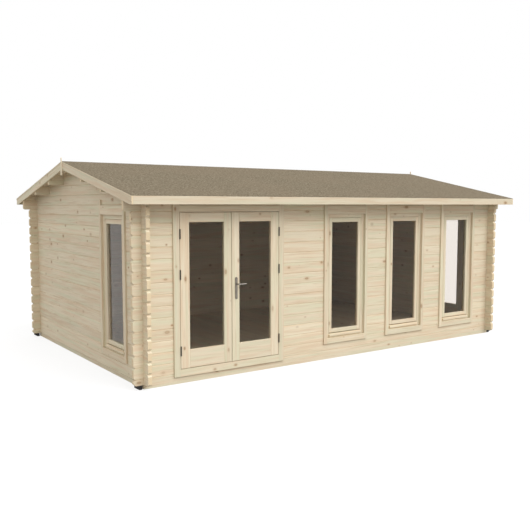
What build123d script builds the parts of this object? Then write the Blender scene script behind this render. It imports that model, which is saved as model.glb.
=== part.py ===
from build123d import *
import math
import os

# Log cabin with a gabled felt roof, an outward-opening double door and five tall windows.
# Millimetres. +Z up, X along the front, Y from front to back, the front faces -Y.
# The origin is on the ground, at the middle of the footprint.

# Walls
WALL_LENGTH = 5770.0        # outer face to outer face along X
WALL_DEPTH = 3700.0         # outer face to outer face along Y
LOG_THICKNESS = 45.0
LOG_PITCH = 128.0           # height of one log, joint to joint
HALF_LOG = LOG_PITCH / 2
CORNER_OVERHANG = 115.0     # log ends beyond the crossing wall
GROOVE_DEPTH = 6.0
GROOVE_HALF_HEIGHT = 5.0
END_BEVEL = 22.0            # upper and lower corner of every free log end
BEAM_HEIGHT = 48.0          # foundation beams under the walls
LONG_WALL_LOGS = 14         # whole logs between the half log and the eaves log
SIDE_BASE_LOGS = 2          # side logs that run on under the window
SIDE_GABLE_LOG = 14         # side logs under the first one over the window
BOTH_ENDS = ("start", "end")
LEFT = -WALL_LENGTH / 2
FRONT = -WALL_DEPTH / 2
LONG_JOINT = BEAM_HEIGHT + HALF_LOG                          # first joint of front and back
EAVES_JOINT = LONG_JOINT + LONG_WALL_LOGS * LOG_PITCH        # underside of the eaves log
SIDE_JOINT = BEAM_HEIGHT                                     # first joint of the side walls
CORE_INSET = LOG_PITCH / 4                                   # notch depth, above and below
TOUCH = 0.1                 # heights closer than this count as one
CUT = 1.0                   # how far a cut starts outside the face that it opens

# Roof
ROOF_PITCH = 12.0
ROOF_LENGTH = 6200.0        # over the barge boards
ROOF_DEPTH = 4200.0         # over the eaves boards
EAVES_TOP = 2064.0          # upper side of the deck at the outer face of the eaves boards
BOARD = 18.0                # deck, barge and eaves boards
FELT = 4.0
EAVES_BOARD_BOTTOM = 1976.0
BARGE_HEIGHT = 98.0
STRIP_HEIGHT = 14.0         # cover strip along the top of the barge boards
STRIP_PROUD = 5.0
EAVES_END_RADIUS = 28.0
PURLIN_THICKNESS = 45.0
PURLIN_SPACING = 610.0
RIDGE_PURLIN_BOTTOM = 2374.0
UPPER_PURLIN_BOTTOM = 2239.0
LOWER_PURLIN_BOTTOM = 2113.0
FINIAL_WIDTH = 44.0
FINIAL_THICKNESS = 16.0
FINIAL_BOTTOM = 2337.0
FINIAL_SHOULDER = 2478.0
FINIAL_NECK = 2512.0
FINIAL_TOP = 2562.0
SPIKE_WIDTH = 18.0
SPIKE_POINT = 14.0
SLOPE = math.tan(math.radians(ROOF_PITCH))
RIDGE_TOP = EAVES_TOP + ROOF_DEPTH / 2 * SLOPE
DECK_VERTICAL = BOARD / math.cos(math.radians(ROOF_PITCH))
FELT_VERTICAL = FELT / math.cos(math.radians(ROOF_PITCH))
DECK_LENGTH = ROOF_LENGTH - 2 * BOARD

# Door, centre measured from the outer face of the left wall
DOOR_CENTRE = LEFT + 1105.0
DOOR_CASING_HALF = 743.0
DOOR_HOLE_HALF = 713.0
DOOR_INNER_HALF = 668.0
DOOR_STOP_HALF = 650.0
CASING_PROUD = 20.0
CASING_TOP = 2030.0
LINING_BACK = 65.0          # inner edge of the linings, behind the wall's outer face
DOOR_SILL_BOTTOM = 78.0
DOOR_SILL_TOP = 159.0
DOOR_HEAD_BOTTOM = 1895.0
HEAD_BOARD_TOP = 1967.0
STOP_STRIP = 18.0
STOP_GAP = 6.0              # leaves to stops, door shut
SIDE_GAP = 8.0              # leaves to jambs
END_GAP = 10.0              # leaves to head and sill
MEETING_GAP = 6.0
STOP_PLAY = 0.5
LEAF_THICKNESS = 42.0
LEAF_EDGE = 3.0             # chamfer round the face and round the glass
LEAF_BEVEL = 3.0            # leading edge bevel of the meeting stiles
HINGE_STILE = 112.0
MEETING_STILE = 100.0
DOOR_GLASS_BOTTOM = 371.0
DOOR_GLASS_TOP = 1781.0
GLASS_THICKNESS = 4.0
GLASS_GROOVE = 8.0
HINGE_RADIUS = 6.5
HINGE_PIN_RADIUS = 3.5
HINGE_BORE_RADIUS = 3.6
HINGE_HEIGHT = 108.0
HINGE_KNUCKLE = 34.0        # the leaf's middle knuckle
HINGE_GAP = 1.0
HINGE_FLAP = 2.0
HINGE_FLAP_DEPTH = 30.0
HINGE_LEVELS = (365.0, 1210.0, 1655.0)
HINGE_PROUD = 8.0           # hinge axis in front of the door's outer face
HANDLE_INSET = 55.0         # handle axis from the free edge of the leaf
HANDLE_LEVEL = 1063.0
PLATE_WIDTH = 30.0
PLATE_BOTTOM = 888.0
PLATE_TOP = 1144.0
PLATE_THICKNESS = 8.0
SPINDLE_RADIUS = 4.0
SPINDLE_HOLE_RADIUS = 5.0
LEVER_NECK = 42.0
LEVER_LENGTH = 103.0
LEVER_BEND = 20.0
LEVER_RADIUS = 8.5
LEVER_PLAY = 1.0            # neck to plate
LOCK_DROP = 92.0            # lock cylinder below the lever
LOCK_RADIUS = 8.5
LOCK_TAIL = 20.0
LOCK_WIDTH = 10.0
LOCK_PROUD = 3.0

# Windows, centres measured from the outer faces of the left and front walls
WINDOW_SPACING = 1085.0
FRONT_WINDOWS = [LEFT + 2855.0 + i * WINDOW_SPACING for i in range(3)]
SIDE_WINDOW = FRONT + 780.0
WINDOW_CASING_HALF = 370.0
WINDOW_CASING_WIDTH = 48.0
WINDOW_HOLE_HALF = 345.0
WINDOW_HOLE_BOTTOM = 240.0
WINDOW_HOLE_TOP = EAVES_JOINT
WINDOW_CASING_BOTTOM = 200.0
WINDOW_APRON_TOP = 281.0    # lower casing board, up to a shadow gap under the nosing
WINDOW_JAMB_FRONT = 13.0    # jamb and sash face behind the wall's outer face
SASH_HALF = 272.0
SASH_BOTTOM = 320.0
SASH_TOP = 1808.0
SASH_CLEARANCE = 3.0
SASH_LIFT = 6.0             # gap under the sash
SASH_EDGE = 3.0             # chamfer round the face and round the glass
SASH_STOP = 12.0            # lip of the jamb behind the sash
SASH_THICKNESS = 42.0
SASH_STILE = 50.0
WINDOW_GLASS_BOTTOM = 379.0
WINDOW_GLASS_TOP = 1752.0
WINDOW_GLASS_INSET = 24.0   # glass behind the sash face
NOSING_BOTTOM = 287.0
NOSING_TOP = 314.0
NOSING_NOSE = 309.0
NOSING_PROUD = 17.0
HEAD_REVEAL = 2.0           # head casing below the edge of the hole

# Floor
BEARER_HEIGHT = 66.0
BEARER_WIDTH = 45.0
BEARER_COUNT = 5
FLOOR_BOARD = 19.0
FLOOR_CLEARANCE = 5.0
PAD_LENGTH = 72.0
PAD_INSET = 18.0            # pads stop short of the wall
PAD_FOOT = 30.0
PAD_TIP = 24.0


def block(x0, x1, y0, y1, z0, z1):
    return Pos((x0 + x1) / 2, (y0 + y1) / 2, (z0 + z1) / 2) * Box(x1 - x0, y1 - y0, z1 - z0)


def write(name, shape):
    export_step(shape, f"parts/{name}.step")


def prism_along_x(points, x0, x1):
    """A YZ outline swept from x0 to x1."""
    face = make_face(Plane.YZ * Polyline(*points, close=True))
    return Pos(x0, 0, 0) * extrude(face, amount=x1 - x0, dir=(1, 0, 0))


def prism_along_y(points, y0, y1):
    """An XZ outline swept from y0 to y1."""
    face = make_face(Plane.XZ * Polyline(*points, close=True))
    return Pos(0, y0, 0) * extrude(face, amount=y1 - y0, dir=(0, 1, 0))


def notched_edge(face, inward, bottom, top, joints, depth, half_height):
    """One upright edge of stacked logs, cut back by a V at every joint."""
    points = []
    for joint in joints:
        if joint - bottom > TOUCH:
            points.append((face, joint - half_height))
        points.append((face + inward * depth, joint))
        if top - joint > TOUCH:
            points.append((face, joint + half_height))
    if not points or points[0][1] - bottom > TOUCH:
        points.insert(0, (face, bottom))
    if top - points[-1][1] > TOUCH:
        points.append((face, top))
    return points


def stack_outline(near, far, bottom, top, joints):
    """Section of stacked logs, with a V groove on both faces at every joint."""
    left = notched_edge(near, 1, bottom, top, joints, GROOVE_DEPTH, GROOVE_HALF_HEIGHT)
    right = notched_edge(far, -1, bottom, top, joints, GROOVE_DEPTH, GROOVE_HALF_HEIGHT)
    return left + right[::-1]


def end_outline(start, end, free, bottom, top, joints):
    """Elevation of stacked logs, with the corners of each free log end bevelled."""
    left = [(start, bottom), (start, top)]
    right = [(end, bottom), (end, top)]
    if "start" in free:
        left = notched_edge(start, 1, bottom, top, joints, END_BEVEL, END_BEVEL)
    if "end" in free:
        right = notched_edge(end, -1, bottom, top, joints, END_BEVEL, END_BEVEL)
    return left + right[::-1]


def joints_between(first, bottom, top):
    """Heights of the joints from bottom to top, both included."""
    count = math.floor((top + TOUCH - first) / LOG_PITCH) + 1
    heights = [first + i * LOG_PITCH for i in range(count)]
    return [height for height in heights if height >= bottom - TOUCH]


def bevel_heights(joints, bottom):
    """Joints, and the underside of the lowest log."""
    if bottom == BEAM_HEIGHT and BEAM_HEIGHT not in joints:
        return [BEAM_HEIGHT] + joints
    return joints


def log_stack_x(x0, x1, face, bottom, top, free=()):
    """Logs lying along X whose lower Y face is at face; free names the ends that stand out."""
    joints = joints_between(LONG_JOINT, bottom, top)
    stack = prism_along_x(stack_outline(face, face + LOG_THICKNESS, bottom, top, joints), x0, x1)
    if free:
        outline = end_outline(x0, x1, free, bottom, top, bevel_heights(joints, bottom))
        stack &= prism_along_y(outline, face, face + LOG_THICKNESS)
    return stack


def log_stack_y(y0, y1, face, bottom, top, free=()):
    """Logs lying along Y whose lower X face is at face; free names the ends that stand out."""
    joints = joints_between(SIDE_JOINT, bottom, top)
    stack = prism_along_y(stack_outline(face, face + LOG_THICKNESS, bottom, top, joints), y0, y1)
    if free:
        outline = end_outline(y0, y1, free, bottom, top, bevel_heights(joints, bottom))
        stack &= prism_along_x(outline, face, face + LOG_THICKNESS)
    return stack


def corner_column(side_x, long_y, first, bottom, top):
    """The slices of one corner column that one wall's notched logs keep."""
    slices = []
    for i in range(math.ceil((top - first) / LOG_PITCH)):
        low = max(first + CORE_INSET + i * LOG_PITCH, bottom)
        high = min(first + CORE_INSET + HALF_LOG + i * LOG_PITCH, top)
        if high - low > TOUCH:
            slices.append(block(side_x, side_x + LOG_THICKNESS, long_y, long_y + LOG_THICKNESS, low, high))
    return slices


WALL_TOP = RIDGE_TOP
SIDE_FACES = (LEFT, -LEFT - LOG_THICKNESS)
LONG_FACES = (FRONT, -FRONT - LOG_THICKNESS)
HALF_LOG_CORE = LONG_JOINT - LOG_PITCH


def cut_side_cores(solid):
    """Notches in the front and back logs where the side logs cross."""
    for side_x in SIDE_FACES:
        for long_y in LONG_FACES:
            solid -= corner_column(side_x, long_y, SIDE_JOINT, BEAM_HEIGHT, WALL_TOP)
    return solid


def cut_long_cores(solid):
    """Notches in the side logs where the front and back logs cross."""
    for side_x in SIDE_FACES:
        for long_y in LONG_FACES:
            solid -= corner_column(side_x, long_y, HALF_LOG_CORE, BEAM_HEIGHT, WALL_TOP)
    return solid


def under_deck(length, depth):
    """Everything from the ground to the underside of the deck, as wide as the roof."""
    ridge = RIDGE_TOP - DECK_VERTICAL
    eaves = ridge - depth / 2 * SLOPE
    outline = [(-depth / 2, 0), (depth / 2, 0), (depth / 2, eaves), (0, ridge), (-depth / 2, eaves)]
    return prism_along_x(outline, -length / 2, length / 2)


def purlin_places():
    """Middle and underside of every purlin."""
    pairs = (("upper_purlins", PURLIN_SPACING, UPPER_PURLIN_BOTTOM),
             ("lower_purlins", 2 * PURLIN_SPACING, LOWER_PURLIN_BOTTOM))
    places = {"ridge_purlin": [(0.0, RIDGE_PURLIN_BOTTOM)]}
    for name, y, bottom in pairs:
        places[name] = [(-y, bottom), (y, bottom)]
    return places


def purlin(y, bottom):
    half = PURLIN_THICKNESS / 2
    bar = block(-DECK_LENGTH / 2, DECK_LENGTH / 2, y - half, y + half, bottom, RIDGE_TOP)
    return bar & under_deck(DECK_LENGTH, ROOF_DEPTH)


def cut_purlins(solid):
    half = PURLIN_THICKNESS / 2
    for places in purlin_places().values():
        for y, bottom in places:
            solid -= block(-DECK_LENGTH / 2, DECK_LENGTH / 2, y - half, y + half, bottom, RIDGE_TOP)
    return solid


def front_wall():
    left_end = LEFT - CORNER_OVERHANG
    right_end = -left_end
    door_left = DOOR_CENTRE - DOOR_HOLE_HALF
    door_right = DOOR_CENTRE + DOOR_HOLE_HALF
    base = log_stack_x(left_end, right_end, FRONT, BEAM_HEIGHT, LONG_JOINT, BOTH_ENDS)
    write("front_wall_half_log", cut_side_cores(base))
    pier = log_stack_x(left_end, door_left, FRONT, LONG_JOINT, EAVES_JOINT, ("start",))
    write("front_wall_left", cut_side_cores(pier))
    apron = log_stack_x(door_right, right_end, FRONT, LONG_JOINT, WINDOW_HOLE_BOTTOM, ("end",))
    write("front_wall_under_windows", cut_side_cores(apron))
    piers = []
    starts = [door_right] + [x + WINDOW_HOLE_HALF for x in FRONT_WINDOWS[:-1]]
    ends = [x - WINDOW_HOLE_HALF for x in FRONT_WINDOWS]
    for start, end in zip(starts, ends):
        piers.append(log_stack_x(start, end, FRONT, WINDOW_HOLE_BOTTOM, EAVES_JOINT))
    write("front_wall_piers", Compound(piers))
    pier = log_stack_x(FRONT_WINDOWS[-1] + WINDOW_HOLE_HALF, right_end, FRONT, WINDOW_HOLE_BOTTOM,
                       EAVES_JOINT, ("end",))
    write("front_wall_right", cut_side_cores(pier))


def eaves_logs(name, face):
    """The long top log and the bevelled plate on it, run out to the barge boards."""
    log = log_stack_x(-DECK_LENGTH / 2, DECK_LENGTH / 2, face, EAVES_JOINT, WALL_TOP)
    height = 2 * (WALL_TOP - EAVES_JOINT)
    rounded = extrude(Plane.XZ * RectangleRounded(DECK_LENGTH, height, EAVES_END_RADIUS),
                      amount=LOG_THICKNESS, dir=(0, 1, 0))
    rounded = Pos(0, face, EAVES_JOINT + height / 2) * rounded
    write(name, cut_side_cores(log) & rounded & under_deck(DECK_LENGTH, ROOF_DEPTH))


def back_wall():
    face = LONG_FACES[1]
    end = -LEFT + CORNER_OVERHANG
    wall = log_stack_x(-end, end, face, BEAM_HEIGHT, EAVES_JOINT, BOTH_ENDS)
    write("back_wall", cut_side_cores(wall))


def window_hole_y():
    return block(-ROOF_LENGTH, ROOF_LENGTH, SIDE_WINDOW - WINDOW_HOLE_HALF, SIDE_WINDOW + WINDOW_HOLE_HALF,
                 WINDOW_HOLE_BOTTOM, WINDOW_HOLE_TOP)


def side_wall(name, face):
    front_end = FRONT - CORNER_OVERHANG
    back_end = -front_end
    base_top = SIDE_JOINT + SIDE_BASE_LOGS * LOG_PITCH
    gable_bottom = SIDE_JOINT + SIDE_GABLE_LOG * LOG_PITCH
    hole = window_hole_y()
    base = log_stack_y(front_end, back_end, face, BEAM_HEIGHT, base_top, BOTH_ENDS) - hole
    write(name + "_wall_base", cut_long_cores(base))
    pier = log_stack_y(front_end, SIDE_WINDOW - WINDOW_HOLE_HALF, face, base_top, gable_bottom, ("start",))
    write(name + "_wall_front", cut_long_cores(pier))
    pier = log_stack_y(SIDE_WINDOW + WINDOW_HOLE_HALF, back_end, face, base_top, gable_bottom, ("end",))
    write(name + "_wall_back", cut_long_cores(pier))
    gable = log_stack_y(front_end, back_end, face, gable_bottom, WALL_TOP, BOTH_ENDS) - hole
    gable = cut_purlins(cut_long_cores(gable)) & under_deck(DECK_LENGTH, ROOF_DEPTH)
    write(name + "_gable", gable)


def roof_slab(side, thickness_low, thickness_high, half_length, depth):
    """One slope between two heights above the deck's upper side, from ridge to eaves."""
    low = RIDGE_TOP + thickness_low
    high = RIDGE_TOP + thickness_high
    fall = depth / 2 * SLOPE
    reach = side * depth / 2
    outline = [(0, low), (reach, low - fall), (reach, high - fall), (0, high)]
    return prism_along_x(outline, -half_length, half_length)


def roof():
    for name, places in purlin_places().items():
        write(name, Compound([purlin(y, bottom) for y, bottom in places]))
    eaves_boards = []
    for name, side in (("front", -1), ("back", 1)):
        write(name + "_roof_boards",
              roof_slab(side, -DECK_VERTICAL, 0, DECK_LENGTH / 2, ROOF_DEPTH - 2 * BOARD))
        write(name + "_felt", roof_slab(side, 0, FELT_VERTICAL, ROOF_LENGTH / 2, ROOF_DEPTH))
        outer = side * ROOF_DEPTH / 2
        inner = outer - side * BOARD
        outline = [(outer, EAVES_BOARD_BOTTOM), (outer, EAVES_TOP), (inner, EAVES_TOP + BOARD * SLOPE),
                   (inner, EAVES_BOARD_BOTTOM)]
        eaves_boards.append(prism_along_x(outline, -DECK_LENGTH / 2, DECK_LENGTH / 2))
    write("eaves_boards", Compound(eaves_boards))
    for name, side in (("front", -1), ("back", 1)):
        write(name + "_barge_boards", Compound([barge_board(side, out) for out in (-1, 1)]))
    write("finials", Compound([finial(out) for out in (-1, 1)]))


def barge_board(side, out):
    """Half a gable's barge board with its cover strip; out is -1 on the left gable, 1 on the right."""
    reach = side * ROOF_DEPTH / 2
    low_end = (EAVES_BOARD_BOTTOM - (RIDGE_TOP - BARGE_HEIGHT)) / -SLOPE * side
    outline = [(0, RIDGE_TOP), (reach, EAVES_TOP), (reach, EAVES_BOARD_BOTTOM),
               (low_end, EAVES_BOARD_BOTTOM), (0, RIDGE_TOP - BARGE_HEIGHT)]
    face = out * ROOF_LENGTH / 2
    board = prism_along_x(outline, min(face, face - out * BOARD), max(face, face - out * BOARD))
    start = FINIAL_WIDTH / 2
    top = RIDGE_TOP - start * SLOPE
    strip = [(side * start, top), (reach, EAVES_TOP), (reach, EAVES_TOP - STRIP_HEIGHT),
             (side * start, top - STRIP_HEIGHT)]
    board += prism_along_x(strip, min(face, face + out * STRIP_PROUD), max(face, face + out * STRIP_PROUD))
    return board.solid()


def finial(out):
    """A flat post over the ridge joint of the barge boards, cut to a slender spike above the roof."""
    half = FINIAL_WIDTH / 2
    slim = SPIKE_WIDTH / 2
    right = [(half, FINIAL_BOTTOM), (half, FINIAL_SHOULDER), (slim, FINIAL_NECK),
             (slim, FINIAL_TOP - SPIKE_POINT)]
    left = [(-y, z) for y, z in right[::-1]]
    face = out * ROOF_LENGTH / 2
    front = face + out * FINIAL_THICKNESS
    return prism_along_x(right + [(0, FINIAL_TOP)] + left, min(face, front), max(face, front))


def base():
    long_beams = []
    for y in LONG_FACES:
        long_beams.append(block(LEFT, -LEFT, y, y + LOG_THICKNESS, 0, BEAM_HEIGHT))
    write("long_beams", Compound(long_beams))
    side_beams = []
    inner = -FRONT - LOG_THICKNESS
    for x in SIDE_FACES:
        side_beams.append(block(x, x + LOG_THICKNESS, -inner, inner, 0, BEAM_HEIGHT))
    write("side_beams", Compound(side_beams))
    half_x = -LEFT - LOG_THICKNESS - FLOOR_CLEARANCE
    half_y = inner - FLOOR_CLEARANCE
    write("floor", block(-half_x, half_x, -half_y, half_y, BEARER_HEIGHT, BEARER_HEIGHT + FLOOR_BOARD))
    spread = 2 * half_y - BEARER_WIDTH
    bearers = []
    for i in range(BEARER_COUNT):
        y = -half_y + i * spread / (BEARER_COUNT - 1)
        bearers.append(block(-half_x, half_x, y, y + BEARER_WIDTH, 0, BEARER_HEIGHT))
    write("floor_bearers", Compound(bearers))
    pads = []
    for y in LONG_FACES:
        for side in (-1, 1):
            near = side * (-LEFT + PAD_INSET)
            far = near + side * PAD_LENGTH
            outline = [(near, 0), (near + side * PAD_FOOT, 0), (far, PAD_TIP), (far, BEAM_HEIGHT),
                       (near, BEAM_HEIGHT)]
            pads.append(prism_along_y(outline, y, y + LOG_THICKNESS))
    write("corner_pads", Compound(pads))


def door_frame():
    x = DOOR_CENTRE
    face = FRONT - CASING_PROUD
    back = FRONT + LINING_BACK
    jambs = []
    for side in (-1, 1):
        inner = side * DOOR_INNER_HALF
        hole = side * DOOR_HOLE_HALF
        outer = side * DOOR_CASING_HALF
        board = block(x + min(inner, outer), x + max(inner, outer), face, FRONT, DOOR_SILL_BOTTOM, CASING_TOP)
        lining = block(x + min(inner, hole), x + max(inner, hole), FRONT, back, LONG_JOINT, EAVES_JOINT)
        jambs.append((board + lining).solid())
    write("door_jambs", Compound(jambs))
    reach = DOOR_INNER_HALF
    head = block(x - reach, x + reach, face, FRONT, DOOR_HEAD_BOTTOM, HEAD_BOARD_TOP)
    head += block(x - reach, x + reach, FRONT, back, DOOR_HEAD_BOTTOM, EAVES_JOINT)
    write("door_head", head)
    sill = block(x - reach, x + reach, face, FRONT, DOOR_SILL_BOTTOM, DOOR_SILL_TOP)
    sill += block(x - reach, x + reach, FRONT, back, LONG_JOINT, DOOR_SILL_TOP)
    write("door_sill", sill)
    stop_front = face + LEAF_THICKNESS + STOP_GAP
    stops = []
    for side in (-1, 1):
        a = x + side * DOOR_STOP_HALF
        b = x + side * DOOR_INNER_HALF
        stops.append(block(min(a, b), max(a, b), stop_front, back, DOOR_SILL_TOP, DOOR_HEAD_BOTTOM))
    between = DOOR_STOP_HALF - STOP_PLAY
    for low in (DOOR_SILL_TOP, DOOR_HEAD_BOTTOM - STOP_STRIP):
        stops.append(block(x - between, x + between, stop_front, back, low, low + STOP_STRIP))
    write("door_stops", Compound(stops))


LEAF_FACE = FRONT - CASING_PROUD
LEAF_BACK = LEAF_FACE + LEAF_THICKNESS
LEAF_OUTER = DOOR_INNER_HALF - SIDE_GAP
LEAF_BOTTOM = DOOR_SILL_TOP + END_GAP
LEAF_TOP = DOOR_HEAD_BOTTOM - END_GAP
HINGE_Y = LEAF_FACE - HINGE_PROUD
GLASS_Y = LEAF_FACE + LEAF_THICKNESS / 2


def leaf_outline(side):
    """Plan of one leaf, with the free edge bevelled towards the back."""
    free = side * MEETING_GAP / 2
    back = side * (MEETING_GAP / 2 + LEAF_BEVEL)
    hinge = side * LEAF_OUTER
    return [(free, LEAF_FACE), (hinge, LEAF_FACE), (hinge, LEAF_BACK), (back, LEAF_BACK)]


def door_leaf(side):
    face = make_face(Polyline(*leaf_outline(side), close=True))
    leaf = extrude(face, amount=LEAF_TOP - LEAF_BOTTOM, dir=(0, 0, 1))
    leaf = Pos(DOOR_CENTRE, 0, LEAF_BOTTOM) * leaf
    a = DOOR_CENTRE + side * (MEETING_GAP / 2 + MEETING_STILE)
    b = DOOR_CENTRE + side * (LEAF_OUTER - HINGE_STILE)
    leaf -= block(min(a, b), max(a, b), LEAF_FACE - CUT, LEAF_BACK + CUT, DOOR_GLASS_BOTTOM, DOOR_GLASS_TOP)
    leaf = chamfer(leaf.faces().sort_by(Axis.Y)[0].edges(), LEAF_EDGE)
    half = GLASS_THICKNESS / 2
    pane = block(min(a, b) - GLASS_GROOVE, max(a, b) + GLASS_GROOVE, GLASS_Y - half, GLASS_Y + half,
                 DOOR_GLASS_BOTTOM - GLASS_GROOVE, DOOR_GLASS_TOP + GLASS_GROOVE)
    leaf -= pane
    return leaf, pane


def along_y(radius, y0, y1, x, z):
    return Pos(x, (y0 + y1) / 2, z) * Rot(90, 0, 0) * Cylinder(radius, y1 - y0)


def flap(side, inner, outer, low, high, y0, y1):
    a = DOOR_CENTRE + side * inner
    b = DOOR_CENTRE + side * outer
    return block(min(a, b), max(a, b), y0, y1, low, high)


def frame_hinge(side, level):
    """Flap on the jamb with the outer knuckles and the pin."""
    x = DOOR_CENTRE + side * (LEAF_OUTER + SIDE_GAP / 2)
    half = HINGE_HEIGHT / 2
    middle = HINGE_KNUCKLE / 2 + HINGE_GAP
    inner = DOOR_INNER_HALF - HINGE_FLAP
    flap_back = LEAF_FACE + HINGE_FLAP_DEPTH
    hinge = flap(side, inner, DOOR_INNER_HALF, level - half, level + half, LEAF_FACE, flap_back)
    hinge += Pos(x, HINGE_Y, level) * Cylinder(HINGE_PIN_RADIUS, HINGE_HEIGHT)
    for low, high in ((level - half, level - middle), (level + middle, level + half)):
        hinge += Pos(x, HINGE_Y, (low + high) / 2) * Cylinder(HINGE_RADIUS, high - low)
        hinge += flap(side, inner, DOOR_INNER_HALF, low, high, HINGE_Y, LEAF_FACE)
    return hinge.solid()


def leaf_hinge(side, level):
    """Flap on the leaf's edge with the middle knuckle, bored for the pin."""
    x = DOOR_CENTRE + side * (LEAF_OUTER + SIDE_GAP / 2)
    half = HINGE_HEIGHT / 2
    low = level - HINGE_KNUCKLE / 2
    high = level + HINGE_KNUCKLE / 2
    outer = LEAF_OUTER + HINGE_FLAP
    hinge = flap(side, LEAF_OUTER, outer, level - half, level + half, LEAF_FACE, LEAF_FACE + HINGE_FLAP_DEPTH)
    hinge += Pos(x, HINGE_Y, level) * Cylinder(HINGE_RADIUS, HINGE_KNUCKLE)
    hinge += flap(side, LEAF_OUTER, outer, low, high, HINGE_Y, LEAF_FACE)
    hinge -= Pos(x, HINGE_Y, level) * Cylinder(HINGE_BORE_RADIUS, HINGE_KNUCKLE + 2 * CUT)
    return hinge.solid()


def doors():
    hole_x = DOOR_CENTRE + MEETING_GAP / 2 + HANDLE_INSET
    for name, side in (("left", -1), ("right", 1)):
        leaf, pane = door_leaf(side)
        if side > 0:
            leaf -= along_y(SPINDLE_HOLE_RADIUS, LEAF_FACE - CUT, LEAF_BACK + CUT, hole_x, HANDLE_LEVEL)
        write(name + "_door", leaf)
        write(name + "_door_glass", pane)
        write(name + "_door_hinges", Compound([leaf_hinge(side, level) for level in HINGE_LEVELS]))
    write("frame_hinges", Compound([frame_hinge(side, level) for side in (-1, 1) for level in HINGE_LEVELS]))


def handle_plate(x, face, out):
    """A long plate with round ends, bored for the spindle, with the lock cylinder under the lever."""
    outline = Plane.XZ * SlotOverall(PLATE_TOP - PLATE_BOTTOM, PLATE_WIDTH, rotation=90)
    plate = extrude(outline, amount=PLATE_THICKNESS, dir=(0, out, 0))
    plate = Pos(x, face, (PLATE_TOP + PLATE_BOTTOM) / 2) * plate
    near = min(face, face + out * (PLATE_THICKNESS + LOCK_PROUD))
    far = max(face, face + out * (PLATE_THICKNESS + LOCK_PROUD))
    lock = HANDLE_LEVEL - LOCK_DROP
    plate += along_y(LOCK_RADIUS, near, far, x, lock)
    plate += block(x - LOCK_WIDTH / 2, x + LOCK_WIDTH / 2, near, far, lock - LOCK_TAIL, lock)
    plate -= along_y(SPINDLE_HOLE_RADIUS, near - CUT, far + CUT, x, HANDLE_LEVEL)
    return plate.solid()


def lever(x, face, out):
    """A round neck that bends into the grip, with a round tip; it starts just off the plate."""
    near = face + out * LEVER_PLAY
    far = face + out * LEVER_NECK
    tip = x + LEVER_LENGTH
    path = FilletPolyline((x, near, HANDLE_LEVEL), (x, far, HANDLE_LEVEL), (tip, far, HANDLE_LEVEL),
                          radius=LEVER_BEND)
    section = Plane(origin=(x, near, HANDLE_LEVEL), z_dir=(0, out, 0)) * Circle(LEVER_RADIUS)
    return sweep(section, path=path) + Pos(tip, far, HANDLE_LEVEL) * Sphere(LEVER_RADIUS)


def handle():
    x = DOOR_CENTRE + MEETING_GAP / 2 + HANDLE_INSET
    reach = PLATE_THICKNESS + LEVER_BEND / 2
    both = along_y(SPINDLE_RADIUS, LEAF_FACE - reach, LEAF_BACK + reach, x, HANDLE_LEVEL)
    plates = []
    for out, face in ((-1, LEAF_FACE), (1, LEAF_BACK)):
        plates.append(handle_plate(x, face, out))
        both += lever(x, face + out * PLATE_THICKNESS, out)
    write("handle_plates", Compound(plates))
    write("door_handle", both.solid())


def window(centre):
    """Casing and jamb, sash and pane of one window, made for the front wall at X = centre."""
    face = FRONT - CASING_PROUD
    jamb_face = FRONT + WINDOW_JAMB_FRONT
    sash_back = jamb_face + SASH_THICKNESS
    back = FRONT + LINING_BACK
    outer = WINDOW_CASING_HALF
    inner = outer - WINDOW_CASING_WIDTH
    head_bottom = WINDOW_HOLE_TOP - WINDOW_CASING_WIDTH + HEAD_REVEAL
    casing = block(centre - outer, centre + outer, face, FRONT, WINDOW_CASING_BOTTOM, HEAD_BOARD_TOP)
    for side in (-1, 1):
        a = centre + side * inner
        b = centre + side * outer
        casing += block(min(a, b), max(a, b), face, FRONT, HEAD_BOARD_TOP, CASING_TOP)
    casing -= block(centre - inner, centre + inner, face - CUT, FRONT + CUT, WINDOW_APRON_TOP, head_bottom)
    jamb = block(centre - WINDOW_HOLE_HALF, centre + WINDOW_HOLE_HALF, FRONT, back, WINDOW_HOLE_BOTTOM,
                 WINDOW_HOLE_TOP)
    jamb -= block(centre - inner, centre + inner, FRONT - CUT, jamb_face, WINDOW_APRON_TOP, head_bottom)
    jamb -= block(centre - SASH_HALF, centre + SASH_HALF, FRONT - CUT, sash_back, SASH_BOTTOM, SASH_TOP)
    lip = SASH_HALF - SASH_STOP
    jamb -= block(centre - lip, centre + lip, FRONT - CUT, back + CUT, SASH_BOTTOM + SASH_STOP,
                  SASH_TOP - SASH_STOP)
    nose = jamb_face - NOSING_PROUD
    drip = [(jamb_face, NOSING_BOTTOM), (nose, NOSING_BOTTOM), (nose, NOSING_NOSE), (jamb_face, NOSING_TOP)]
    nosing = prism_along_x(drip, centre - SASH_HALF, centre + SASH_HALF)
    frame = (casing + jamb + nosing).solid()
    half = SASH_HALF - SASH_CLEARANCE
    glass_half = SASH_HALF - SASH_STILE
    sash = block(centre - half, centre + half, jamb_face, sash_back, SASH_BOTTOM + SASH_LIFT,
                 SASH_TOP - SASH_CLEARANCE)
    sash -= block(centre - glass_half, centre + glass_half, jamb_face - CUT, sash_back + CUT,
                  WINDOW_GLASS_BOTTOM, WINDOW_GLASS_TOP)
    sash = chamfer(sash.faces().sort_by(Axis.Y)[0].edges(), SASH_EDGE)
    y = jamb_face + WINDOW_GLASS_INSET
    pane = block(centre - glass_half - GLASS_GROOVE, centre + glass_half + GLASS_GROOVE, y,
                 y + GLASS_THICKNESS, WINDOW_GLASS_BOTTOM - GLASS_GROOVE, WINDOW_GLASS_TOP + GLASS_GROOVE)
    sash = (sash - pane).solid()
    return frame, sash, pane


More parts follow.
